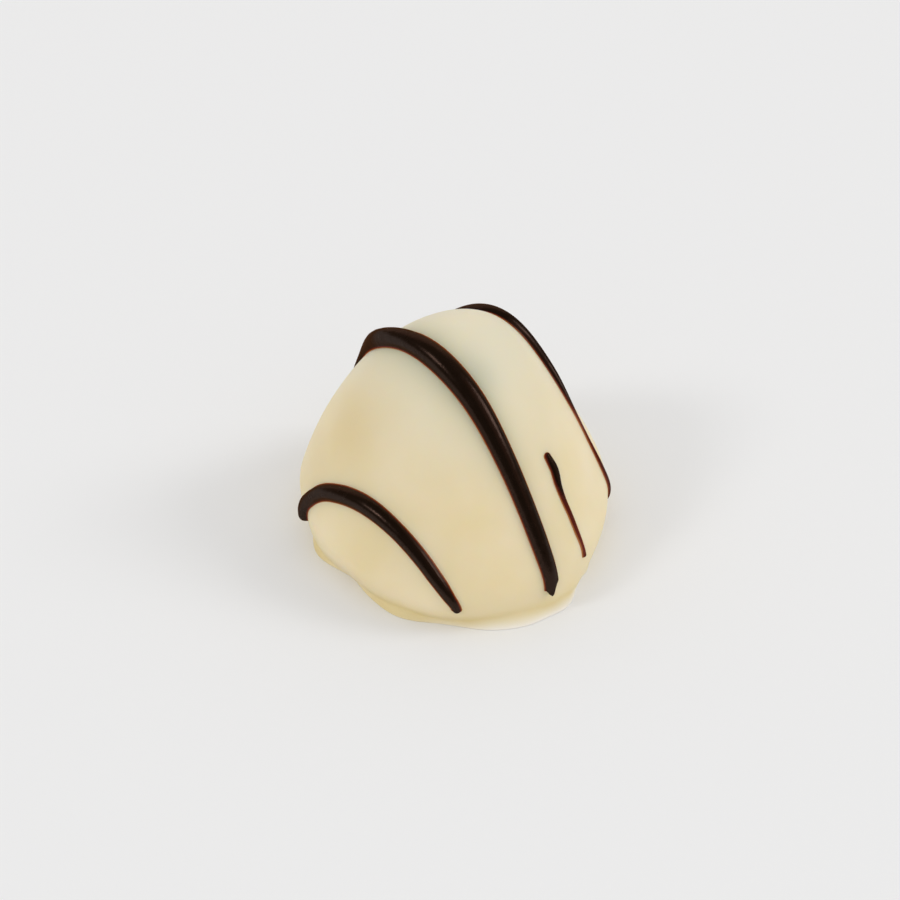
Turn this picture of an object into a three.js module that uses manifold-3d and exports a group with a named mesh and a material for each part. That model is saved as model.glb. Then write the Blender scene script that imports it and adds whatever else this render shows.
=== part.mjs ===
// A dome-shaped chocolate praline: a white-chocolate coat that pooled into an uneven foot on the sheet
// it set on, with strands of dark chocolate drizzled across it in straight passes and fused to the coat.
// Millimetres, +Z up. The origin is the middle of the flat underside, and -Y is the front.
import * as THREE from 'three';
import { mergeVertices } from 'three/addons/utils/BufferGeometryUtils.js';
import Module from 'manifold-3d';

// The coat: a rounded dome whose sides tuck in at the bottom and whose top leans to the back
const COAT_RADIUS = 15.8;
const COAT_HEIGHT = 21.5;
const FLANK_POWER = 1.41; // 1 is an ellipse, more makes the flanks straighter
const CROWN_POWER = 1.15; // 1 is an ellipse, more makes the crown more pointed
const TUCK_SHARE = 0.15;
const TUCK_HEIGHT = 5;
const LEAN = new THREE.Vector2(-0.7, 3.7);
const COLOUR = '#e3d4af';
const ROUGHNESS = 0.42;

// The plan isn't round: it bulges towards a few sides, by a share of the radius
const PLAN_BULGES = [
  { count: 2, share: 0.012, towards: -45 },
  { count: 3, share: 0.033, towards: 44 },
];

// Soft swellings and flats of the filling under the coat, in degrees of turn and mm
const SWELLINGS = [
  { turn: 52, height: 18.5, reach: 3.5, rise: 0.8 },
  { turn: 14, height: 12, reach: 4, rise: -0.3 },
  { turn: 186, height: 3.5, reach: 3, rise: -0.5 },
];
const SWELLING_START = 2; // below this height they fade out
const CORE_SHARE = 0.4; // the swellings push away from a point this far up the leaning axis

// Hollows low in the flank, and a fuller place where the depth is negative, in degrees of turn and mm
const FLANK_HOLLOWS = [
  { turn: 219, depth: 0.5, spread: 9, height: 4 },
  { turn: 312, depth: -0.9, spread: 14, height: 2.6 },
];

// The foot: lobes of coat that ran out onto the sheet, in degrees of turn and mm of width
const FOOT_LOBES = [
  { turn: 25, width: 0.6, spread: 16 },
  { turn: 66, width: 0.9, spread: 17 },
  { turn: 108, width: 0.5, spread: 15 },
  { turn: 146, width: 0.8, spread: 16 },
  { turn: 197, width: 0.7, spread: 8 },
  { turn: 227, width: 0.2, spread: 5 },
  { turn: 247, width: 1, spread: 11 },
  { turn: 283, width: 1.1, spread: 10 },
  { turn: 298, width: 0.85, spread: 8 },
  { turn: 312, width: 0.8, spread: 5.5 },
  { turn: 332, width: 0.3, spread: 3 },
  { turn: 343, width: 0.3, spread: 6 },
];
const FOOT_EDGE = 0.12; // height of the foot's upright edge
const FOOT_TOP = 0.55; // height of the crease where the foot is narrow
const CREASE_HOLLOW = 2.2; // 1 is a straight slope from the foot's edge up to the flank, more is more hollow
const CREASE_SOFTNESS = 1.3; // how much higher the crease starts, as a share of the foot's reach
const SHORT_REACH = 0.7; // a foot no wider than this has the sharpest crease

// The drizzle: each strand lies near an upright plane through its heading, and runs from one angle to another
// about the point of the underside that is under it, 90 being straight up. Its offsets to the left of the
// origin, its widths, and its rises over the coat as shares of the widths, are given at even steps along it.
const STRANDS = [
  {
    heading: -48.7,
    from: 166,
    to: 7.5,
    offsets: [0.8, -0.25, -0.8, -1.46, -1.38, -1.1, -1.22, -1.3, -1.34, -1.29],
    widths: [0.5, 1.2, 1.2, 1.8, 2.15, 2.2, 2, 1.8, 1.7, 1.5],
    rises: [0.45, 0.6, 0.84, 0.58, 0.46, 0.45, 0.45, 0.45],
  },
  {
    heading: -42.3,
    from: 166.9,
    to: 11.7,
    offsets: [
      -10.8, -10.93, -11.07, -11.2, -11.32, -11.37, -11.4, -11.43, -11.46, -11.47, -11.48, -11.48, -11.45,
      -11.3, -10.9,
    ],
    widths: [1.5, 1.5, 1.5, 1.65, 1.7, 1.52, 1.38, 1.18, 0.75],
    rises: [0.52, 0.45, 0.45],
  },
  {
    heading: -39,
    from: 157,
    to: 9.3,
    offsets: [7.25, 7.7, 8.3, 9.45, 10.65, 10.3, 9.85, 10.1, 10.55],
    widths: [1.5, 1.85, 2, 1.85, 1.45, 1.05, 0.42, 0.5, 0.55],
    rises: [0.6, 0.6],
  },
  {
    heading: -47.2,
    from: 55.4,
    to: 12.7,
    offsets: [3, 3.15, 2.85, 2.79, 2.9, 2.98, 3.12, 3.24],
    widths: [0.65, 0.87, 0.85, 0.65, 0.53, 0.48, 0.47, 0.42, 0.38, 0.5],
    rises: [0.45, 0.45],
  },
];
const STRAND_ROOT = 0.5; // depth sunk into the coat, in mm
const STRAND_DIP = 0.25; // how far a strand's rounded ends dip into the coat, in mm

// Fineness of the faces
const TURNS = 108;
const FOOT_ROWS = 12;
const FOOT_ROWS_TOP = 2; // height up to which the rows are close together, in mm
const DOME_ROWS = 24;
const STRAND_SIDES = 10;
const STRAND_STEP = 0.9;
const JOIN_TOLERANCE = 0.02; // edges shorter than this close up where strands and coat join
const SAME_PLACE = 1e-4; // vertices nearer than this are one
const FAR_OUT = 3 * COAT_RADIUS; // well outside the coat

const wasm = await Module();
wasm.setup();

const radians = THREE.MathUtils.degToRad;

function bell(distance, spread) {
  return Math.exp(-(distance ** 2) / (2 * spread ** 2));
}

// Radius of the round dome at a height, before its plan bulges and its foot
function domeRadius(height) {
  const share = THREE.MathUtils.clamp(height / COAT_HEIGHT, 0, 1);
  const dome = COAT_RADIUS * (1 - share ** (2 / FLANK_POWER)) ** (CROWN_POWER / 2);
  const tuck = TUCK_SHARE * Math.max(0, 1 - height / TUCK_HEIGHT) ** 2;
  return dome * (1 - tuck);
}

function planShare(turn) {
  let share = 1;
  for (const bulge of PLAN_BULGES) {
    share += bulge.share * Math.cos(bulge.count * (turn - radians(bulge.towards)));
  }
  return share;
}

// 1 towards the side that a lobe or a hollow is at, falling to 0 away from it
function bellRound(turn, bump) {
  const apart = THREE.MathUtils.euclideanModulo(turn - radians(bump.turn) + Math.PI, 2 * Math.PI) - Math.PI;
  return bell(apart, radians(bump.spread));
}

// How far the foot runs out from under the dome: all the way at its edge, then less in a hollow curve
function footWidth(turn, height) {
  let reach = 0;
  for (const lobe of FOOT_LOBES) {
    reach += lobe.width * bellRound(turn, lobe);
  }
  const top = FOOT_TOP + CREASE_SOFTNESS * Math.max(reach - SHORT_REACH, 0);
  return reach * THREE.MathUtils.clamp((top - height) / (top - FOOT_EDGE), 0, 1) ** CREASE_HOLLOW;
}

function hollowDepth(turn, height) {
  let depth = 0;
  for (const hollow of FLANK_HOLLOWS) {
    const below = 1 - THREE.MathUtils.smoothstep(height, 0, hollow.height);
    depth += hollow.depth * bellRound(turn, hollow) * below;
  }
  return depth;
}

// A point of the coat; inward is 1 on the surface and less on the underside, towards its middle
function coatPoint(turn, height, inward = 1) {
  const dome = domeRadius(height) * planShare(turn) - hollowDepth(turn, height);
  const radius = inward * (dome + footWidth(turn, height));
  const lean = LEAN.clone().multiplyScalar(height / COAT_HEIGHT);
  return new THREE.Vector3(lean.x + radius * Math.cos(turn), lean.y + radius * Math.sin(turn), height);
}

function swell(point) {
  const core = new THREE.Vector3(LEAN.x, LEAN.y, COAT_HEIGHT).multiplyScalar(CORE_SHARE);
  const outward = point.clone().sub(core).normalize();
  let push = 0;
  for (const swelling of SWELLINGS) {
    const middle = coatPoint(radians(swelling.turn), swelling.height);
    push += swelling.rise * bell(point.distanceTo(middle), swelling.reach);
  }
  return point.addScaledVector(outward, push * THREE.MathUtils.smoothstep(point.z, 0, SWELLING_START));
}

// Heights of the coat's rows: even over the foot, then even in the dome's own angle up to the crown
function rowHeights() {
  const heights = [];
  for (let row = 0; row < FOOT_ROWS; row += 1) {
    heights.push((FOOT_ROWS_TOP * row) / FOOT_ROWS);
  }
  const start = Math.asin((FOOT_ROWS_TOP / COAT_HEIGHT) ** (1 / FLANK_POWER));
  for (let row = 0; row < DOME_ROWS; row += 1) {
    const angle = THREE.MathUtils.lerp(start, Math.PI / 2, row / DOME_ROWS);
    heights.push(COAT_HEIGHT * Math.sin(angle) ** FLANK_POWER);
  }
  return heights;
}

// A plain turned dome first, then each of its points moved to the uneven coat
function coatGeometry() {
  const side = rowHeights().map((height) => new THREE.Vector2(domeRadius(height), height));
  const profile = [new THREE.Vector2(0, 0), ...side, new THREE.Vector2(0, COAT_HEIGHT)];
  const geometry = new THREE.LatheGeometry(profile, TURNS);
  geometry.rotateX(Math.PI / 2);
  const places = geometry.attributes.position;
  const point = new THREE.Vector3();
  for (let index = 0; index < places.count; index += 1) {
    point.fromBufferAttribute(places, index);
    const round = domeRadius(point.z);
    const inward = round > 0 ? Math.hypot(point.x, point.y) / round : 0;
    places.setXYZ(index, ...swell(coatPoint(Math.atan2(point.y, point.x), point.z, inward)));
  }
  return closedGeometry(geometry);
}

// One vertex for each place, and no triangle that has shrunk to a line at a pole
function closedGeometry(geometry) {
  geometry.deleteAttribute('normal');
  geometry.deleteAttribute('uv');
  const merged = mergeVertices(geometry, SAME_PLACE);
  const corners = merged.index.array;
  const kept = [];
  for (let first = 0; first < corners.length; first += 3) {
    const [a, b, c] = corners.slice(first, first + 3);
    if (a !== b && b !== c && c !== a) {
      kept.push(a, b, c);
    }
  }
  merged.setIndex(kept);
  merged.computeVertexNormals();
  return merged;
}

function solid(geometry) {
  const vertProperties = new Float32Array(geometry.attributes.position.array);
  const triVerts = new Uint32Array(geometry.index.array);
  const mesh = new wasm.Mesh({ numProp: 3, vertProperties, triVerts, tolerance: JOIN_TOLERANCE });
  return new wasm.Manifold(mesh);
}

// Value of a list of numbers at a share of its length, on a smooth curve through its entries
function along(values, share) {
  const points = values.map((value, index) => new THREE.Vector2(index / (values.length - 1), value));
  return new THREE.SplineCurve(points).getPoint(share).y;
}

// Points of the coat's surface under a strand, with the coat's normal at each
function strandPath(strand, coat) {
  const heading = new THREE.Vector3(Math.cos(radians(strand.heading)), Math.sin(radians(strand.heading)), 0);
  const across = new THREE.Vector3(-heading.y, heading.x, 0);
  const ray = new THREE.Raycaster();
  const steps = Math.ceil((radians(strand.from - strand.to) * COAT_RADIUS) / STRAND_STEP);
  const path = [];
  for (let step = 0; step <= steps; step += 1) {
    const share = step / steps;
    const angle = radians(THREE.MathUtils.lerp(strand.from, strand.to, share));
    const middle = across.clone().multiplyScalar(along(strand.offsets, share));
    const outward = heading.clone().multiplyScalar(Math.cos(angle)).setZ(Math.sin(angle));
    ray.set(middle.addScaledVector(outward, FAR_OUT), outward.negate());
    const [hit] = ray.intersectObject(coat);
    path.push({ point: hit.point, normal: hit.normal.normalize() });
  }
  return path;
}

// A sphere drawn out along the path: its poles are the strand's rounded ends, its rings the sections.
// Its sides are turned by half a side, so that the coat meets the middle of an upright side.
function strandGeometry(strand, coat) {
  const path = strandPath(strand, coat);
  const last = path.length - 1;
  const lengths = [0];
  for (let step = 1; step <= last; step += 1) {
    lengths.push(lengths[step - 1] + path[step].point.distanceTo(path[step - 1].point));
  }
  const halfSide = Math.PI / STRAND_SIDES;
  const geometry = new THREE.SphereGeometry(1, STRAND_SIDES, last, halfSide);
  const places = geometry.attributes.position;
  const point = new THREE.Vector3();
  for (let index = 0; index < places.count; index += 1) {
    point.fromBufferAttribute(places, index);
    const step = Math.round((Math.acos(point.y) / Math.PI) * last);
    const { point: base, normal } = path[step];
    const before = path[Math.max(step - 1, 0)].point;
    const after = path[Math.min(step + 1, last)].point;
    const sideways = normal.clone().cross(after.clone().sub(before)).normalize();
    const width = along(strand.widths, step / last);
    const toEnd = Math.min(lengths[step], lengths[last] - lengths[step]);
    const shrink = Math.sqrt(1 - Math.max(0, 1 - toEnd / (width / 2)) ** 2);
    const angle = Math.atan2(point.z, point.x);
    const aside = ((Math.cos(angle) * shrink) / Math.cos(halfSide)) * (width / 2);
    const crest = along(strand.rises, step / last) * width;
    const upright = Math.sin(angle) * shrink * (Math.sin(angle) > 0 ? crest : STRAND_ROOT);
    const rise = upright - STRAND_DIP * (1 - shrink);
    places.setXYZ(index, ...base.clone().addScaledVector(sideways, aside).addScaledVector(normal, rise));
  }
  return closedGeometry(geometry);
}

const coat = coatGeometry();
const coatMesh = new THREE.Mesh(coat, new THREE.MeshStandardMaterial());
let whole = solid(coat);
for (const strand of STRANDS) {
  whole = whole.add(solid(strandGeometry(strand, coatMesh)));
}

const { vertProperties, triVerts } = whole.getMesh();
const shape = new THREE.BufferGeometry();
shape.setAttribute('position', new THREE.BufferAttribute(vertProperties, 3));
shape.setIndex(new THREE.BufferAttribute(triVerts, 1));
shape.computeVertexNormals();

const praline = new THREE.Mesh(
  shape,
  new THREE.MeshStandardMaterial({ color: COLOUR, roughness: ROUGHNESS, metalness: 0 }),
);
praline.name = 'praline';

const group = new THREE.Group();
group.add(praline);

export default group;
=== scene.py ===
"""A white chocolate praline with dark chocolate drizzle, and a plain studio round it."""
import bisect
import math
from typing import NamedTuple

import bmesh
import bpy
from bpy.props import FloatProperty, FloatVectorProperty, PointerProperty
from mathutils import Matrix, Vector, noise
from mathutils.bvhtree import BVHTree
from mathutils.interpolate import poly_3d_calc
from mathutils.kdtree import KDTree


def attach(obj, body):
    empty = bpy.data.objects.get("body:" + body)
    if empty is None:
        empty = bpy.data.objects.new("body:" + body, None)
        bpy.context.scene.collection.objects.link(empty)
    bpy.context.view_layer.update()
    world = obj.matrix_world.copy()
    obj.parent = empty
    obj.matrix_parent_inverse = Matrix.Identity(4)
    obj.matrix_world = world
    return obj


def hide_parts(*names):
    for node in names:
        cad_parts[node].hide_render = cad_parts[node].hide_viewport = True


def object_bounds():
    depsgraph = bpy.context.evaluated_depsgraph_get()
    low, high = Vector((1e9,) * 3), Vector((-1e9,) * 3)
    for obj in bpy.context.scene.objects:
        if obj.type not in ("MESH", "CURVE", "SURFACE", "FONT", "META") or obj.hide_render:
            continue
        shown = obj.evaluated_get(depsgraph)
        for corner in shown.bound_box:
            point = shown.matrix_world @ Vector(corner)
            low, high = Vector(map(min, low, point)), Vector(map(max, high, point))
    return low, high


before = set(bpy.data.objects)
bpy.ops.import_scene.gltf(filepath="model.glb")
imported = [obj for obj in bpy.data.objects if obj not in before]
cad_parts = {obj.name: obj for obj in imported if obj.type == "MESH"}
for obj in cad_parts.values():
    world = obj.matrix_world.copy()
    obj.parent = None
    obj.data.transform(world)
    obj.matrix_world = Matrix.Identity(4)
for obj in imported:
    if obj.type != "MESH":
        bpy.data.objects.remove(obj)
CAD_LOW, CAD_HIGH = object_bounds()

bl_info = {
    "name": "Drizzled Praline",
    "version": (1, 0, 0),
    "blender": (4, 5, 0),
    "location": "View3D > Sidebar > Praline",
    "description": "Builds a white chocolate praline with dark chocolate drizzle on a plain studio floor",
    "category": "Object",
}

MM = 0.001
NODE = "praline"
BODY = "root"

# The plan isn't round: it bulges towards a few sides, by a share of the radius
PLAN_BULGES = (
    {"count": 2, "share": 0.012, "towards": -45},
    {"count": 3, "share": 0.033, "towards": 44},
)

# Soft swellings and flats of the filling under the coat, in degrees of turn and mm
SWELLINGS = (
    {"turn": 52, "height": 18.5, "reach": 3.5, "rise": 0.8},
    {"turn": 14, "height": 12, "reach": 4, "rise": -0.3},
    {"turn": 186, "height": 3.5, "reach": 3, "rise": -0.5},
)
SWELLING_START = 2 * MM  # below this height they fade out
CORE_SHARE = 0.4  # the swellings push away from a point this far up the leaning axis
WAVE_SIZE = 5 * MM  # how long the soft waves of the coat are

# Hollows low in the flank, and a fuller place where the depth is negative, in degrees of turn and mm
FLANK_HOLLOWS = (
    {"turn": 219, "depth": 0.5, "spread": 9, "height": 4},
    {"turn": 312, "depth": -0.9, "spread": 14, "height": 2.6},
)

# The foot: lobes of coat that ran out at the bottom, in degrees of turn and mm of width
FOOT_LOBES = (
    {"turn": 25, "width": 0.6, "spread": 16},
    {"turn": 66, "width": 0.9, "spread": 17},
    {"turn": 108, "width": 0.5, "spread": 15},
    {"turn": 146, "width": 0.8, "spread": 16},
    {"turn": 197, "width": 0.7, "spread": 8},
    {"turn": 227, "width": 0.2, "spread": 5},
    {"turn": 247, "width": 1, "spread": 11},
    {"turn": 283, "width": 1.1, "spread": 10},
    {"turn": 298, "width": 0.85, "spread": 8},
    {"turn": 312, "width": 0.8, "spread": 5.5},
    {"turn": 332, "width": 0.3, "spread": 3},
    {"turn": 343, "width": 0.3, "spread": 6},
)
CREASE_HOLLOW = 2.2  # 1 is a straight slope from the foot's edge up to the flank, more is more hollow
CREASE_SOFTNESS = 1.3  # how much higher the crease starts, as a share of the foot's reach
SHORT_REACH = 0.7 * MM  # a foot no wider than this has the sharpest crease

# The drizzle: each strand lies near an upright plane through its heading, and runs from one angle to
# another about the point of the underside that is under it, 90 being straight up. Its offsets to the left
# of the origin, its widths, in mm, and its rises, as shares of the widths, are given at even steps along
# it. A break at its far end takes away some mm of it, given at even steps from its left edge to its right.
STRANDS = (
    {
        "name": "strand_over_top",
        "heading": -48.7,
        "angles": (166, 7.5),
        "offsets": (0.8, -0.25, -0.8, -1.46, -1.38, -1.1, -1.22, -1.3, -1.34, -1.29),
        "widths": (0.5, 1.2, 1.2, 1.8, 2.15, 2.2, 2, 1.8, 1.7, 1.5),
        "rises": (0.45, 0.6, 0.84, 0.58, 0.46, 0.45, 0.45, 0.45),
        "break": (0.7, 0.35, 0.2, 0.05, 0.4, 1, 1.3, 1.4, 1.45, 1.45, 1.7),
    },
    {
        "name": "strand_front_left",
        "heading": -42.3,
        "angles": (166.9, 11.7),
        "offsets": (
            -10.8, -10.93, -11.07, -11.2, -11.32, -11.37, -11.4, -11.43,
            -11.46, -11.47, -11.48, -11.48, -11.45, -11.3, -10.9),
        "widths": (1.5, 1.5, 1.5, 1.65, 1.7, 1.52, 1.38, 1.18, 0.75),
        "rises": (0.52, 0.45, 0.45),
    },
    {
        "name": "strand_right_side",
        "heading": -39,
        "angles": (157, 9.3),
        "offsets": (7.25, 7.7, 8.3, 9.45, 10.65, 10.3, 9.85, 10.1, 10.55),
        "widths": (1.5, 1.85, 2, 1.85, 1.45, 1.05, 0.42, 0.5, 0.55),
        "rises": (0.6, 0.6),
    },
    {
        "name": "strand_thin_drip",
        "heading": -47.2,
        "angles": (55.4, 12.7),
        "offsets": (3, 3.15, 2.85, 2.79, 2.9, 2.98, 3.12, 3.24),
        "widths": (0.65, 0.87, 0.85, 0.65, 0.53, 0.48, 0.47, 0.42, 0.38, 0.5),
        "rises": (0.45, 0.45),
    },
)
SKIRT_HEIGHT = 0.06 * MM  # height over which a strand's thin edge runs out on the coat
ROUND_END = 2  # bluntness of an end that is rounded off
BROKEN_END = 9  # bluntness of an end that is broken off
BREAK_LENGTH = 3.5 * MM  # length of a strand that a slanting break at its end takes part of

# Fineness of the meshes
COAT_TURNS = 240
COAT_UNDERSIDE_RINGS = 5
COAT_FOOT_ROWS = 36
FOOT_ROWS_TOP = 2 * MM  # height up to which the coat's rows are close together
COAT_DOME_ROWS = 84
STRAND_SIDES = 40
STRAND_STEP = 0.15 * MM
STRAND_END_RINGS = 14
SIDE_CROWDING = 0.35  # brings the points of a section closer together towards its two edges
SAME_PLACE = 0.0001 * MM  # points nearer than this are one
FAR_OUT = 3  # radii from the middle of the coat to a place well outside it

# Places of painted shade on the coat: golden on the left flank, and cool grey beside the top strand near
# the crown, in degrees of turn and mm
FLANK_SHADE_PLACES = (
    {"turn": 200, "height": 13.2, "reach": 3.3, "strength": 0.66},
    {"turn": 188, "height": 9, "reach": 2.6, "strength": 0.55},
    {"turn": 234, "height": 5, "reach": 3.2, "strength": 0.22},
)
STRAND_SHADE_PLACES = ({"turn": 297, "height": 19.4, "reach": 1.6, "strength": 0.6},)
# Painted sheen over the crown
CROWN_START = 11 * MM  # the coat turns paler from this height
CROWN_FULL = 20 * MM  # up to this one
CREASE_SHADE_REACH = 0.8 * MM  # a foot this wide gets the painted warm crease shade in full
CREASE_SHADE_HEIGHT = 2.4 * MM  # up to where it does
THIN_SIDE = {"turn": 301, "spread": 22}  # where the coat ran out thin, painted nearly white partly with painted light
THIN_STRENGTH = 1.4  # past 1 the middle of that side is all thin
DEEP_COAT = 2 * MM  # above this height the coat is thick enough for light to spread in it in full

# The strands swallow light that would come back out of the coat beside them
VEIL_WIDTH = 2 * MM  # a strand this wide swallows it in full
VEIL_REACH = 1.3 * MM  # how far beside a strand most of it is lost
VEIL_STRENGTH = 0.55  # how much of it is lost right beside a strand
VEIL_LOW_SHARE = 0.22  # how much of that is left low on the coat
VEIL_START = 0.3  # share of the coat's height from which it grows
VEIL_FULL = 0.9  # share of the coat's height at which it is whole

# Thickness of dark chocolate, in mm, that still glows orange, and that is nearly black
FRINGE_DEPTH = 0.048
FULL_DEPTH = 0.17
FULL_BODIED_WIDTH = 1 * MM  # strands narrower than this let more of the coat glow through

# Sizes of the patterns in the chocolate
CLOUD_SIZE = 6 * MM
SATIN_GRAIN_SIZE = 0.6 * MM
RIPPLE_SIZE = 0.9 * MM
FINE_GRAIN_SIZE = 0.12 * MM

# Soft lamps, and cards that show only in the gloss, in degrees to the right of the front and metres
LAMP_DISTANCE = 3
LEFT_LAMP = {"name": "lamp_left", "turn": -65, "elevation": 38, "size": 0.65}
RIGHT_LAMP = {"name": "lamp_right", "turn": 95, "elevation": 37, "size": 1.1}
CARD_DISTANCE = 1
GLOSS_CARDS = (
    {"name": "card_right", "turn": 65, "elevation": 42, "size": 0.9, "radiance": 0.3},
    {"name": "card_back", "turn": -170, "elevation": 20, "size": 1.3, "radiance": 0.7},
)
FLOOR_REACH = 1.5
SENSOR_WIDTH = 36  # in mm, as the camera takes it
NEAREST_SEEN = 10 * MM


def linear(hex_colour):
    """Linear RGB of an sRGB colour written as a hex value."""
    values = [int(hex_colour[place:place + 2], 16) / 255 for place in (1, 3, 5)]
    return tuple(v / 12.92 if v <= 0.04045 else ((v + 0.055) / 1.055) ** 2.4 for v in values)


class CoatSettings(bpy.types.PropertyGroup):
    """Sizes and colours of the white chocolate coat."""

    radius: FloatProperty(
        name="Radius", description="Widest radius of the dome", default=15.8 * MM, unit="LENGTH")
    height: FloatProperty(
        name="Height", description="Height of the dome", default=21.5 * MM, unit="LENGTH")
    flank: FloatProperty(
        name="Flank", description="1 is an ellipse, more makes the flanks straighter", default=1.41)
    crown: FloatProperty(
        name="Crown", description="1 is an ellipse, more makes the crown more pointed", default=1.15)
    tuck_share: FloatProperty(
        name="Tuck", description="Share of the radius by which the sides draw in at the bottom",
        default=0.15)
    tuck_height: FloatProperty(
        name="Tuck height", description="Height below which the sides draw in", default=5 * MM,
        unit="LENGTH")
    lean: FloatVectorProperty(
        name="Lean", description="How far the top is off the middle", size=2,
        default=(-0.7 * MM, 3.7 * MM), unit="LENGTH")
    foot_edge: FloatProperty(
        name="Foot edge", description="Height of the foot's upright edge", default=0.06 * MM,
        unit="LENGTH")
    foot_top: FloatProperty(
        name="Foot top", description="Height of the crease where the foot is narrow", default=0.55 * MM,
        unit="LENGTH")
    unevenness: FloatProperty(
        name="Unevenness", description="Depth of the soft waves in the coat", default=0.05 * MM,
        unit="LENGTH")
    cream: FloatVectorProperty(
        name="Cream", description="Colour of the coat", subtype="COLOR", default=linear("#f0e0bc"))
    butter: FloatVectorProperty(
        name="Butter", description="Deeper colour of the coat's faint clouds", subtype="COLOR",
        default=linear("#ecdbaf"))
    # Painted sheen: the paler, greyer colour over the crown
    painted_crown_sheen: FloatVectorProperty(
        name="Crown tint", description="Paler colour of the coat over the crown", subtype="COLOR",
        default=linear("#e7dfc5"))
    veil: FloatVectorProperty(
        name="Veil", description="Cool colour of the coat where the drizzle swallows its inner light",
        subtype="COLOR", default=linear("#aeb08f"))
    # Painted warm shade in the crease over the foot
    pooled_and_shaded: FloatVectorProperty(
        name="Pooled", description="Colour where the coat pooled thick over the foot", subtype="COLOR",
        default=linear("#e6d29a"))
    # Painted shade: the golden colour of the shaded left flank
    painted_flank_shade: FloatVectorProperty(
        name="Golden", description="Colour where the coat set thick on the flank", subtype="COLOR",
        default=linear("#dfca97"))
    # Painted shade: the cool grey beside the top strand near the crown
    painted_strand_shade: FloatVectorProperty(
        name="Cool", description="Colour where the coat is thin over its filling", subtype="COLOR",
        default=linear("#c9c8b4"))
    # Partly painted light: the thin edge of the foot, painted nearly white with light from above and
    # through it from the white floor
    thin_edge_and_light: FloatVectorProperty(
        name="Rim", description="Colour where the foot ran out thin", subtype="COLOR",
        default=linear("#f4efe6"))


class DrizzleSettings(bpy.types.PropertyGroup):
    """Sizes and colours of the dark chocolate strands."""

    plumpness: FloatProperty(
        name="Plumpness", description="Factor on the height of every strand", default=1.0)
    root: FloatProperty(
        name="Root", description="Depth of a strand sunk into the coat", default=0.4 * MM, unit="LENGTH")
    skirt: FloatProperty(
        name="Skirt", description="Width of the thin edge that wets the coat", default=0.14 * MM,
        unit="LENGTH")
    dark: FloatVectorProperty(
        name="Dark", description="Colour of thick dark chocolate", subtype="COLOR",
        default=linear("#160e08"))
    film: FloatVectorProperty(
        name="Film", description="Colour of dark chocolate as a thin layer", subtype="COLOR",
        default=linear("#641c12"))
    fringe: FloatVectorProperty(
        name="Fringe", description="Colour of dark chocolate where it runs out to nothing", subtype="COLOR",
        default=linear("#c4844a"))
    sheen: FloatVectorProperty(
        name="Sheen", description="Tint of the gloss of dark chocolate", subtype="COLOR",
        default=linear("#ffcbb5"))
    haze: FloatVectorProperty(
        name="Haze", description="Colour of the soft haze at the strands' flanks", subtype="COLOR",
        default=linear("#ffaa76"))


class StageSettings(bpy.types.PropertyGroup):
    """Floor, lamps and camera of the studio."""

    floor: FloatVectorProperty(
        name="Floor", description="Colour of the floor", subtype="COLOR", default=linear("#eeeeee"))
    fill: FloatProperty(
        name="Fill", description="Strength of the even light from all round", default=0.77)
    left_lamp: FloatProperty(
        name="Left lamp", description="Power of the lamp at the left", default=13.0, unit="POWER")
    right_lamp: FloatProperty(
        name="Right lamp", description="Power of the lamp at the right", default=18.5, unit="POWER")
    glow: FloatVectorProperty(
        name="Glow", description="Colour of the warm cards that only gloss shows", subtype="COLOR",
        default=linear("#ffc8b1"))
    elevation: FloatProperty(
        name="Elevation", description="Height of the camera as an angle", default=math.radians(39),
        subtype="ANGLE")
    field_of_view: FloatProperty(
        name="Field of view", description="Angle that the camera takes in", default=math.radians(15),
        subtype="ANGLE")
    distance: FloatProperty(
        name="Distance", description="From the camera to the plane of the praline's middle",
        default=329.6 * MM, unit="LENGTH")
    shift: FloatVectorProperty(
        name="Shift", description="How far the camera is aimed to the right of the praline and above it",
        size=2, default=(-0.7 * MM, 7.4 * MM), unit="LENGTH")


class PathPoint(NamedTuple):
    """A point of the coat under a strand, the coat's normal there and the length of the path so far."""

    point: Vector
    normal: Vector
    length: float


def clamp(value, low, high):
    return min(max(value, low), high)


def mix(low, high, share):
    return low + (high - low) * share


def bell(distance, spread):
    return math.exp(-(distance ** 2) / (2 * spread ** 2))


def smoothstep(value, low, high):
    share = clamp((value - low) / (high - low), 0, 1)
    return share * share * (3 - 2 * share)


def along(values, share):
    """Value of a list of numbers at a share of its length, on a smooth curve through its entries."""
    last = len(values) - 1
    place = share * last
    index = min(int(place), last - 1)
    before, low, high, after = (values[clamp(index + step, 0, last)] for step in (-1, 0, 1, 2))
    part = place - index
    ease = part * part * (3 - 2 * part)
    leaving = part * (1 - part) ** 2 * (high - before) / 2
    arriving = part ** 2 * (part - 1) * (after - low) / 2
    return mix(low, high, ease) + leaving + arriving


def dome_radius(coat, height):
    """Radius of the round dome at a height, before its plan bulges and its foot."""
    share = clamp(height / coat.height, 0, 1)
    dome = coat.radius * (1 - share ** (2 / coat.flank)) ** (coat.crown / 2)
    tuck = coat.tuck_share * max(0, 1 - height / coat.tuck_height) ** 2
    return dome * (1 - tuck)


def plan_share(turn):
    """Radius of the plan towards a side, as a share of the round one."""
    return 1 + sum(
        bulge["share"] * math.cos(bulge["count"] * (turn - math.radians(bulge["towards"])))
        for bulge in PLAN_BULGES)


def bell_round(turn, bump):
    """1 towards the side that a lobe or a hollow is at, falling to 0 away from it."""
    apart = (turn - math.radians(bump["turn"]) + math.pi) % (2 * math.pi) - math.pi
    return bell(apart, math.radians(bump["spread"]))


def foot_reach(turn):
    """How far the foot runs out from under the dome towards a side."""
    return sum(lobe["width"] * MM * bell_round(turn, lobe) for lobe in FOOT_LOBES)


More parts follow.
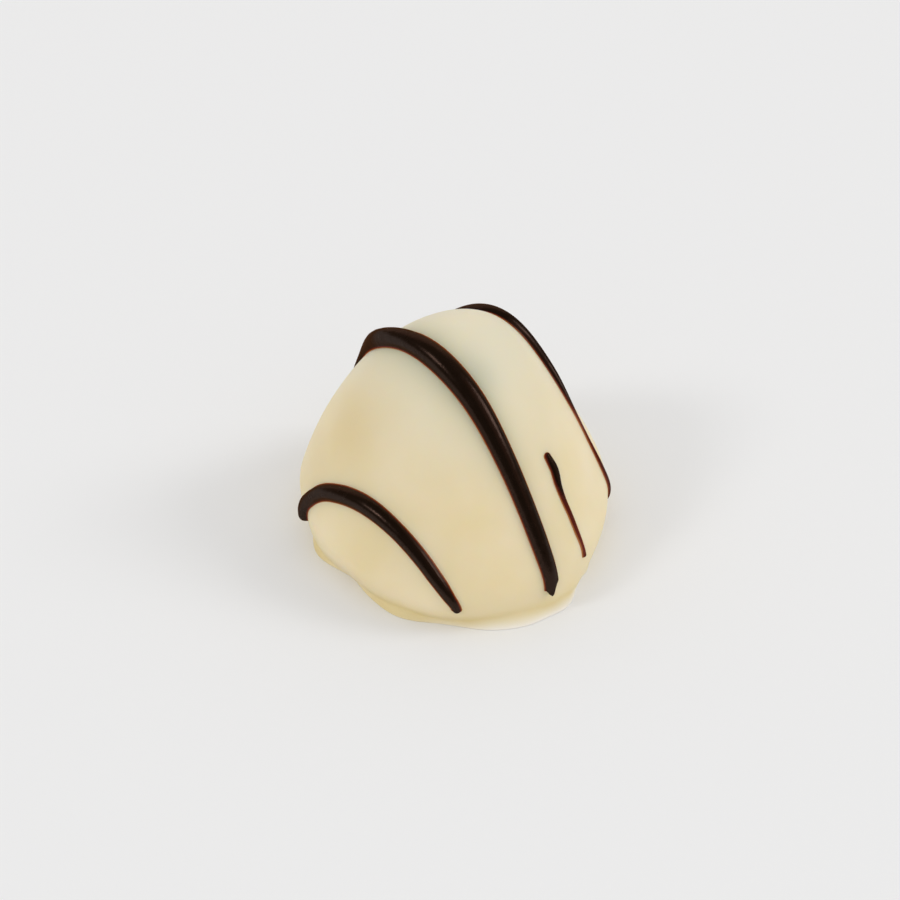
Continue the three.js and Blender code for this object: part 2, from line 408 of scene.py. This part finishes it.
def foot_share(coat, height, reach):
    """1 at the foot's edge, falling to 0 in a hollow curve, higher up where the foot reaches further."""
    top = coat.foot_top + CREASE_SOFTNESS * max(reach - SHORT_REACH, 0)
    return clamp((top - height) / (top - coat.foot_edge), 0, 1) ** CREASE_HOLLOW


def hollow_depth(turn, height):
    """How far the flank draws in towards a side, at a height."""
    return sum(
        hollow["depth"] * MM * bell_round(turn, hollow) * (1 - smoothstep(height, 0, hollow["height"] * MM))
        for hollow in FLANK_HOLLOWS)


def coat_point(coat, turn, height, inward=1):
    """A point of the coat; inward is 1 on the surface and less on the underside, towards its middle."""
    radius = dome_radius(coat, height) * plan_share(turn) - hollow_depth(turn, height)
    reach = foot_reach(turn)
    radius += reach * foot_share(coat, height, reach)
    lean = Vector(coat.lean) * height / coat.height
    x = lean.x + inward * radius * math.cos(turn)
    y = lean.y + inward * radius * math.sin(turn)
    return Vector((x, y, height))


def swell(coat, point):
    """Pushes a point of the dome out or in with the filling's swellings and the coat's soft waves."""
    core = Vector((coat.lean[0], coat.lean[1], coat.height)) * CORE_SHARE
    outward = (point - core).normalized()
    push = coat.unevenness * noise.noise(point / WAVE_SIZE)
    for swelling in SWELLINGS:
        middle = coat_point(coat, math.radians(swelling["turn"]), swelling["height"] * MM)
        push += swelling["rise"] * MM * bell((point - middle).length, swelling["reach"] * MM)
    return point + outward * push * smoothstep(point.z, 0, SWELLING_START)


def patch_share(coat, point, patches):
    """How far a point lies within soft patches of the coat, from 0 to 1."""
    shares = [0]
    for patch in patches:
        middle = coat_point(coat, math.radians(patch["turn"]), patch["height"] * MM)
        shares.append(patch["strength"] * bell((point - middle).length, patch["reach"] * MM))
    return max(shares)


def coat_heights(coat):
    """Heights of the coat's rows: even over the foot, then even in the dome's own angle up to the crown."""
    foot = [FOOT_ROWS_TOP * row / COAT_FOOT_ROWS for row in range(COAT_FOOT_ROWS)]
    start = math.asin((FOOT_ROWS_TOP / coat.height) ** (1 / coat.flank))
    angles = [mix(start, math.pi / 2, row / COAT_DOME_ROWS) for row in range(COAT_DOME_ROWS)]
    return foot + [coat.height * math.sin(angle) ** coat.flank for angle in angles]


def coat_mesh(coat):
    """A plain turned dome first, then each of its points moved to the uneven coat."""
    mesh = bmesh.new()
    base = dome_radius(coat, 0)
    underside = [(base * ring / COAT_UNDERSIDE_RINGS, 0) for ring in range(COAT_UNDERSIDE_RINGS)]
    side = [(dome_radius(coat, height), height) for height in coat_heights(coat)]
    outline = underside + side + [(0, coat.height)]
    profile = [mesh.verts.new((radius, 0, height)) for radius, height in outline]
    lines = [mesh.edges.new(ends) for ends in zip(profile, profile[1:])]
    bmesh.ops.spin(
        mesh, geom=profile + lines, axis=(0, 0, 1), cent=(0, 0, 0), angle=2 * math.pi, steps=COAT_TURNS,
        use_merge=True)
    bmesh.ops.remove_doubles(mesh, verts=mesh.verts, dist=SAME_PLACE)
    bmesh.ops.recalc_face_normals(mesh, faces=mesh.faces)
    # Masks of painted shade and light: the crease over the foot, the thin edge, the left flank and beside
    # the top strand
    pooled_and_shaded = mesh.verts.layers.float.new("pooled_and_shaded")
    thin = mesh.verts.layers.float.new("thin")
    painted_flank_shade = mesh.verts.layers.float.new("painted_flank_shade")
    painted_strand_shade = mesh.verts.layers.float.new("painted_strand_shade")
    for vert in mesh.verts:
        turn = math.atan2(vert.co.y, vert.co.x)
        height = vert.co.z
        round_radius = dome_radius(coat, height)
        inward = vert.co.xy.length / round_radius if round_radius > 0 else 0
        reach = foot_reach(turn)
        place = coat_point(coat, turn, height, inward)
        # Painted warm shade in the crease over the foot
        vert[pooled_and_shaded] = min(reach / CREASE_SHADE_REACH, 1) * (1 - smoothstep(height, coat.foot_edge, CREASE_SHADE_HEIGHT))
        # Thin edge of the foot, painted nearly white partly as painted light
        vert[thin] = min(THIN_STRENGTH * bell_round(turn, THIN_SIDE), 1) * foot_share(coat, height, reach)
        # Painted shade on the left flank
        vert[painted_flank_shade] = patch_share(coat, place, FLANK_SHADE_PLACES)
        # Painted shade beside the top strand near the crown
        vert[painted_strand_shade] = patch_share(coat, place, STRAND_SHADE_PLACES)
        vert.co = swell(coat, place)
    return mesh


def smooth_normal(data, face, point):
    """Normal of a mesh at a point of one of its faces, evened out between the face's corners."""
    corners = [data.vertices[index] for index in data.polygons[face].vertices]
    weights = poly_3d_calc([corner.co for corner in corners], point)
    return sum((corner.normal * weight for corner, weight in zip(corners, weights)), Vector()).normalized()


def strand_path(strand, coat, piece, surface):
    """Points of the coat under a strand, found by rays from outside it."""
    heading = math.radians(strand["heading"])
    forward = Vector((math.cos(heading), math.sin(heading), 0))
    across = Vector((-forward.y, forward.x, 0))
    first, last = (math.radians(angle) for angle in strand["angles"])
    steps = math.ceil((first - last) * coat.radius / STRAND_STEP)
    path = []
    length = 0
    for step in range(steps + 1):
        share = step / steps
        angle = mix(first, last, share)
        outward = forward * math.cos(angle) + Vector((0, 0, math.sin(angle)))
        start = across * along(strand["offsets"], share) * MM + outward * FAR_OUT * coat.radius
        point, _, face, _ = surface.ray_cast(start, -outward)
        if point is None:
            raise RuntimeError(f"{strand['name']} misses the coat")
        if path:
            length += (point - path[-1].point).length
        path.append(PathPoint(point, smooth_normal(piece.data, face, point), length))
    return path


def path_place(path, length):
    """Point, normal and direction of a path at a length along it."""
    length = clamp(length, 0, path[-1].length)
    following = bisect.bisect_right(path, length, key=lambda entry: entry.length)
    index = clamp(following - 1, 0, len(path) - 2)
    here, ahead = path[index:index + 2]
    share = (length - here.length) / (ahead.length - here.length)
    normal = here.normal.lerp(ahead.normal, share).normalized()
    return here.point.lerp(ahead.point, share), normal, ahead.point - here.point


def strand_width(strand, share):
    return along(strand["widths"], share) * MM


def ring_lengths(strand, total):
    """Lengths along a strand of its sections: close together over its rounded ends, even between them."""
    first = strand_width(strand, 0) / 2
    last = strand_width(strand, 1) / 2
    turns = [math.pi / 2 * step / STRAND_END_RINGS for step in range(STRAND_END_RINGS)]
    start = [first * (1 - math.cos(turn)) for turn in turns]
    end = [total - last * (1 - math.cos(turn)) for turn in reversed(turns)]
    count = math.ceil((total - first - last) / STRAND_STEP)
    return start + [mix(first, total - last, step / count) for step in range(count + 1)] + end


def strand_section(strand, drizzle, path, length, angle):
    """Place of a point of a strand's section, by its angle round it, and its height over the coat."""
    total = path[-1].length
    width = strand_width(strand, length / total)
    to_end = min(length / strand_width(strand, 0), (total - length) / strand_width(strand, 1))
    blunt = BROKEN_END if "break" in strand and 2 * length > total else ROUND_END
    shrink = (1 - max(0, 1 - 2 * to_end) ** blunt) ** (1 / blunt)
    aside = math.cos(angle) * width / 2
    rise = drizzle.plumpness * along(strand["rises"], length / total) * width
    upright = math.sin(angle) * (rise if math.sin(angle) > 0 else drizzle.root)
    skirt = drizzle.skirt * math.copysign(math.exp(-abs(upright) / SKIRT_HEIGHT), math.cos(angle))
    if "break" in strand:
        near_end = max(1 - (total - length) / BREAK_LENGTH, 0)
        length -= near_end * along(strand["break"], (1 + math.cos(angle)) / 2) * MM
    point, normal, direction = path_place(path, length)
    sideways = normal.cross(direction).normalized()
    return point + sideways * shrink * (aside + skirt) + normal * shrink * upright, shrink * upright


def strand_mesh(strand, drizzle, path):
    """A sphere drawn out along the path: its poles are the strand's ends, its rings the sections."""
    total = path[-1].length
    lengths = ring_lengths(strand, total)
    last = len(lengths) - 1
    mesh = bmesh.new()
    bmesh.ops.create_uvsphere(mesh, u_segments=STRAND_SIDES, v_segments=last, radius=1)
    depth = mesh.verts.layers.float.new("depth")
    for vert in mesh.verts:
        ring = round(math.acos(clamp(vert.co.z, -1, 1)) / math.pi * last)
        even_angle = math.atan2(vert.co.y, vert.co.x)
        angle = even_angle - SIDE_CROWDING * math.sin(2 * even_angle)
        vert.co, height = strand_section(strand, drizzle, path, lengths[ring], angle)
        width = strand_width(strand, lengths[ring] / total)
        vert[depth] = max(height, 0) / MM * min(width / FULL_BODIED_WIDTH, 1)
    bmesh.ops.recalc_face_normals(mesh, faces=mesh.faces)
    # On so long and bent a shape the normals can all come out pointing inwards
    if mesh.calc_volume(signed=True) < 0:
        bmesh.ops.reverse_faces(mesh, faces=mesh.faces)
    return mesh


def shade_coat(piece, coat, paths):
    """Stores on the coat how much of its light the strands nearby swallow, most of all near the crown."""
    veil = piece.data.attributes.new("veil", "FLOAT", "POINT")
    strands = []
    for strand, path in zip(STRANDS, paths):
        places = KDTree(len(path))
        for index, entry in enumerate(path):
            places.insert(entry.point, index)
        places.balance()
        strands.append((strand, path, places))
    for vert in piece.data.vertices:
        lost = 0
        for strand, path, places in strands:
            _, index, apart = places.find(vert.co)
            width = strand_width(strand, path[index].length / path[-1].length)
            lost += width / VEIL_WIDTH * math.exp(-max(apart - width / 2, 0) / VEIL_REACH)
        high = smoothstep(vert.co.z, VEIL_START * coat.height, VEIL_FULL * coat.height)
        veil.data[vert.index].value = min(VEIL_STRENGTH * mix(VEIL_LOW_SHARE, 1, high) * lost, 1)


def new_material(name):
    """A material with an empty node tree, and that tree."""
    material = bpy.data.materials.new(name)
    material.use_nodes = True
    material.node_tree.nodes.clear()
    return material, material.node_tree


def add_node(tree, kind, inputs=(), **settings):
    """Adds a node with its settings; an input that is given a socket is linked to it, any other is set."""
    node = tree.nodes.new(kind)
    for name, value in settings.items():
        setattr(node, name, value)
    for name, value in dict(inputs).items():
        if isinstance(value, bpy.types.NodeSocket):
            tree.links.new(value, node.inputs[name])
        else:
            node.inputs[name].default_value = value
    return node


def opaque(colour):
    return (*colour, 1)


def white_chocolate(coat):
    """The coat's material: white chocolate, poured and left to set."""
    # Cocoa butter and milk make it satin and cream coloured, with faint clouds and a soft light within
    material, tree = new_material("white_chocolate_satin_poured")
    place = add_node(tree, "ShaderNodeTexCoord").outputs["Object"]
    height = add_node(tree, "ShaderNodeSeparateXYZ", {"Vector": place}).outputs["Z"]
    clouds = add_node(
        tree, "ShaderNodeTexNoise",
        {"Vector": place, "Scale": 1 / CLOUD_SIZE, "Detail": 2, "Roughness": 0.5}).outputs["Fac"]
    cloudy = add_node(tree, "ShaderNodeMapRange", {"Value": clouds, "From Min": 0.35, "From Max": 0.7})
    # Painted sheen: over the crown the coat is painted paler and greyer, a reflection of the light from
    # above
    crown = add_node(
        tree, "ShaderNodeMapRange", {"Value": height, "From Min": CROWN_START, "From Max": CROWN_FULL})
    layers = [(cloudy.outputs["Result"], coat.butter), (crown.outputs["Result"], coat.painted_crown_sheen)]
    # Painted shade makes it golden on the left flank and cool grey beside the top strand near the crown.
    # Light within it is lost into the dark strands, the red of it first, which greys the coat beside them.
    # Painted warm shade deepens the crease over the foot to gold. Where the foot ran out thin the coat is
    # paler, and painted light, from above and up through it from the white floor, makes it nearly white.
    tints = {
        "painted_flank_shade": coat.painted_flank_shade,
        "painted_strand_shade": coat.painted_strand_shade,
        "veil": coat.veil,
        "pooled_and_shaded": coat.pooled_and_shaded,
        "thin": coat.thin_edge_and_light,
    }
    for name, tint in tints.items():
        layers.append((add_node(tree, "ShaderNodeAttribute", attribute_name=name).outputs["Fac"], tint))
    colour = opaque(coat.cream)
    for share, tint in layers:
        layer = add_node(
            tree, "ShaderNodeMix", {"Factor": share, "A": colour, "B": opaque(tint)}, data_type="RGBA")
        colour = layer.outputs["Result"]
    grain = add_node(
        tree, "ShaderNodeTexNoise",
        {"Vector": place, "Scale": 1 / SATIN_GRAIN_SIZE, "Detail": 3, "Roughness": 0.5}).outputs["Fac"]
    bump = add_node(tree, "ShaderNodeBump", {"Height": grain, "Strength": 0.1, "Distance": 0.05 * MM})
    roughness = add_node(
        tree, "ShaderNodeMapRange",
        {"Value": clouds, "From Min": 0.3, "From Max": 0.7, "To Min": 0.46, "To Max": 0.56})
    inner_light = add_node(
        tree, "ShaderNodeMapRange", {"Value": height, "From Min": 0, "From Max": DEEP_COAT, "To Max": 0.6})
    shader = add_node(
        tree, "ShaderNodeBsdfPrincipled",
        {"Base Color": colour, "Roughness": roughness.outputs["Result"], "IOR": 1.46,
         "Subsurface Weight": inner_light.outputs["Result"], "Subsurface Radius": (1, 0.75, 0.4),
         "Subsurface Scale": 1.2 * MM, "Normal": bump.outputs["Normal"]})
    add_node(tree, "ShaderNodeOutputMaterial", {"Surface": shader.outputs["BSDF"]})
    return material


def dark_chocolate(drizzle):
    """The strands' material: dark chocolate, drizzled and left to set."""
    # It is nearly black with a soft brown gloss, and the thinner it is, the more of the pale coat glows
    # through it, so that its edges turn red brown and then orange
    material, tree = new_material("dark_chocolate_drizzled")
    place = add_node(tree, "ShaderNodeTexCoord").outputs["Object"]
    depth = add_node(tree, "ShaderNodeAttribute", attribute_name="depth").outputs["Fac"]
    colour = opaque(drizzle.fringe)
    for start, full, tint in ((0, FRINGE_DEPTH, drizzle.film), (FRINGE_DEPTH, FULL_DEPTH, drizzle.dark)):
        share = add_node(
            tree, "ShaderNodeMapRange", {"Value": depth, "From Min": start, "From Max": full})
        layer = add_node(
            tree, "ShaderNodeMix", {"Factor": share.outputs["Result"], "A": colour, "B": opaque(tint)},
            data_type="RGBA")
        colour = layer.outputs["Result"]
    ripples = add_node(
        tree, "ShaderNodeTexNoise",
        {"Vector": place, "Scale": 1 / RIPPLE_SIZE, "Detail": 2, "Roughness": 0.5}).outputs["Fac"]
    grain = add_node(
        tree, "ShaderNodeTexNoise",
        {"Vector": place, "Scale": 1 / FINE_GRAIN_SIZE, "Detail": 2, "Roughness": 0.5}).outputs["Fac"]
    soft_bump = add_node(
        tree, "ShaderNodeBump", {"Height": ripples, "Strength": 0.25, "Distance": 0.1 * MM})
    bump = add_node(
        tree, "ShaderNodeBump",
        {"Height": grain, "Strength": 0.4, "Distance": 0.02 * MM, "Normal": soft_bump.outputs["Normal"]})
    roughness = add_node(
        tree, "ShaderNodeMapRange",
        {"Value": ripples, "From Min": 0.3, "From Max": 0.7, "To Min": 0.2, "To Max": 0.3})
    # Seen along its surface, a brown haze of cocoa butter takes over from the gloss
    facing = add_node(tree, "ShaderNodeLayerWeight", {"Blend": 0.5}).outputs["Facing"]
    gloss = add_node(
        tree, "ShaderNodeMapRange",
        {"Value": facing, "From Min": 0.08, "From Max": 0.66, "To Min": 0.34, "To Max": 0},
        interpolation_type="SMOOTHSTEP")
    shader = add_node(
        tree, "ShaderNodeBsdfPrincipled",
        {"Base Color": colour, "Roughness": roughness.outputs["Result"], "IOR": 1.46,
         "Specular IOR Level": gloss.outputs["Result"], "Specular Tint": opaque(drizzle.sheen),
         "Sheen Weight": 0.2, "Sheen Roughness": 0.4, "Sheen Tint": opaque(drizzle.haze),
         "Normal": bump.outputs["Normal"]})
    add_node(tree, "ShaderNodeOutputMaterial", {"Surface": shader.outputs["BSDF"]})
    return material


def white_paper(stage):
    """The floor's material: a sweep of white paper."""
    # Uncoated paper is matt and shows no gloss
    material, tree = new_material("white_paper_matt")
    shader = add_node(
        tree, "ShaderNodeBsdfPrincipled",
        {"Base Color": opaque(stage.floor), "Roughness": 0.9, "IOR": 1.4})
    add_node(tree, "ShaderNodeOutputMaterial", {"Surface": shader.outputs["BSDF"]})
    return material


def linked_object(name, mesh, material):
    """A mesh as an object of the scene, with its material."""
    data = bpy.data.meshes.new(name)
    mesh.to_mesh(data)
    mesh.free()
    data.materials.append(material)
    added = bpy.data.objects.new(name, data)
    bpy.context.scene.collection.objects.link(added)
    return added


def finished_piece(name, mesh, material):
    """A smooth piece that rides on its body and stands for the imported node."""
    piece = linked_object(name, mesh, material)
    piece.data.shade_smooth()
    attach(piece, BODY)
    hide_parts(NODE)
    return piece


class PRALINE_OT_coat(bpy.types.Operator):
    """Builds the white chocolate coat with its pooled foot"""

    bl_idname = "praline.coat"
    bl_label = "Build Coat"

    def execute(self, context):
        coat = context.scene.praline_coat
        finished_piece("coat", coat_mesh(coat), white_chocolate(coat))
        return {"FINISHED"}


class PRALINE_OT_drizzle(bpy.types.Operator):
    """Lays the dark chocolate strands on the coat"""

    bl_idname = "praline.drizzle"
    bl_label = "Lay Drizzle"

    def execute(self, context):
        coat = context.scene.praline_coat
        drizzle = context.scene.praline_drizzle
        coat_piece = bpy.data.objects["coat"]
        surface = BVHTree.FromObject(coat_piece, context.evaluated_depsgraph_get())
        material = dark_chocolate(drizzle)
        paths = [strand_path(strand, coat, coat_piece, surface) for strand in STRANDS]
        for strand, path in zip(STRANDS, paths):
            finished_piece(strand["name"], strand_mesh(strand, drizzle, path), material)
        shade_coat(coat_piece, coat, paths)
        return {"FINISHED"}


def add_floor(stage):
    """A flat sheet of paper at the height of the praline's underside."""
    mesh = bmesh.new()
    bmesh.ops.create_grid(mesh, x_segments=1, y_segments=1, size=FLOOR_REACH)
    bmesh.ops.translate(mesh, verts=mesh.verts, vec=(0, 0, CAD_LOW.z))
    linked_object("floor", mesh, white_paper(stage))


def add_lamp(lamp, power, distance):
    """A square soft lamp at a distance from the praline and aimed at it."""
    data = bpy.data.lights.new(lamp["name"], "AREA")
    data.energy = power
    data.size = lamp["size"]
    turn = math.radians(lamp["turn"])
    elevation = math.radians(lamp["elevation"])
    level = math.cos(elevation)
    towards = Vector((level * math.sin(turn), -level * math.cos(turn), math.sin(elevation)))
    added = bpy.data.objects.new(lamp["name"], data)
    added.location = towards * distance
    added.rotation_euler = towards.to_track_quat("Z", "Y").to_euler()
    bpy.context.scene.collection.objects.link(added)
    return added


def add_gloss_card(card, colour):
    """A warm card that gloss shows and nothing else does."""
    # A lamp's radiance is its power over pi and its area
    power = card["radiance"] * math.pi * card["size"] ** 2
    added = add_lamp(card, power, CARD_DISTANCE)
    added.data.color = colour
    added.visible_diffuse = False
    added.visible_camera = False


def set_world(scene, stage):
    """Even white light from all round, which gloss doesn't show."""
    scene.world = bpy.data.worlds.new("white_tent")
    scene.world.use_nodes = True
    background = scene.world.node_tree.nodes["Background"]
    background.inputs["Color"].default_value = (1, 1, 1, 1)
    background.inputs["Strength"].default_value = stage.fill
    scene.world.cycles_visibility.glossy = False


def add_camera(scene, stage):
    """A long lens at the front, raised to its elevation and aimed a little beside the origin."""
    lens = bpy.data.cameras.new("camera")
    lens.sensor_width = SENSOR_WIDTH
    lens.angle = stage.field_of_view
    lens.clip_start = NEAREST_SEEN
    camera = bpy.data.objects.new("camera", lens)
    turned = Matrix.Rotation(math.pi / 2 - stage.elevation, 4, "X")
    camera.matrix_world = turned @ Matrix.Translation((stage.shift[0], stage.shift[1], stage.distance))
    scene.collection.objects.link(camera)
    scene.camera = camera


class PRALINE_OT_stage(bpy.types.Operator):
    """Sets the floor, the lamps and the camera"""

    bl_idname = "praline.stage"
    bl_label = "Set Stage"

    def execute(self, context):
        scene = context.scene
        stage = scene.praline_stage
        add_floor(stage)
        add_lamp(LEFT_LAMP, stage.left_lamp, LAMP_DISTANCE)
        add_lamp(RIGHT_LAMP, stage.right_lamp, LAMP_DISTANCE)
        for card in GLOSS_CARDS:
            add_gloss_card(card, stage.glow)
        set_world(scene, stage)
        add_camera(scene, stage)
        scene.view_settings.view_transform = "Standard"
        return {"FINISHED"}


class PRALINE_PT_panel(bpy.types.Panel):
    """Lists the praline's settings and steps"""

    bl_label = "Praline"
    bl_idname = "PRALINE_PT_panel"
    bl_space_type = "VIEW_3D"
    bl_region_type = "UI"
    bl_category = "Praline"

    def draw(self, context):
        scene = context.scene
        for settings, operator in (
            (scene.praline_coat, PRALINE_OT_coat),
            (scene.praline_drizzle, PRALINE_OT_drizzle),
            (scene.praline_stage, PRALINE_OT_stage),
        ):
            box = self.layout.box()
            for name in settings.__annotations__:
                box.prop(settings, name)
            box.operator(operator.bl_idname)


CLASSES = (
    CoatSettings,
    DrizzleSettings,
    StageSettings,
    PRALINE_OT_coat,
    PRALINE_OT_drizzle,
    PRALINE_OT_stage,
    PRALINE_PT_panel,
)


def register():
    for added in CLASSES:
        bpy.utils.register_class(added)
    bpy.types.Scene.praline_coat = PointerProperty(type=CoatSettings)
    bpy.types.Scene.praline_drizzle = PointerProperty(type=DrizzleSettings)
    bpy.types.Scene.praline_stage = PointerProperty(type=StageSettings)


def unregister():
    del bpy.types.Scene.praline_stage
    del bpy.types.Scene.praline_drizzle
    del bpy.types.Scene.praline_coat
    for added in reversed(CLASSES):
        bpy.utils.unregister_class(added)


def main():
    register()
    bpy.ops.praline.coat()
    bpy.ops.praline.drizzle()
    bpy.ops.praline.stage()


if __name__ == "__main__":
    main()
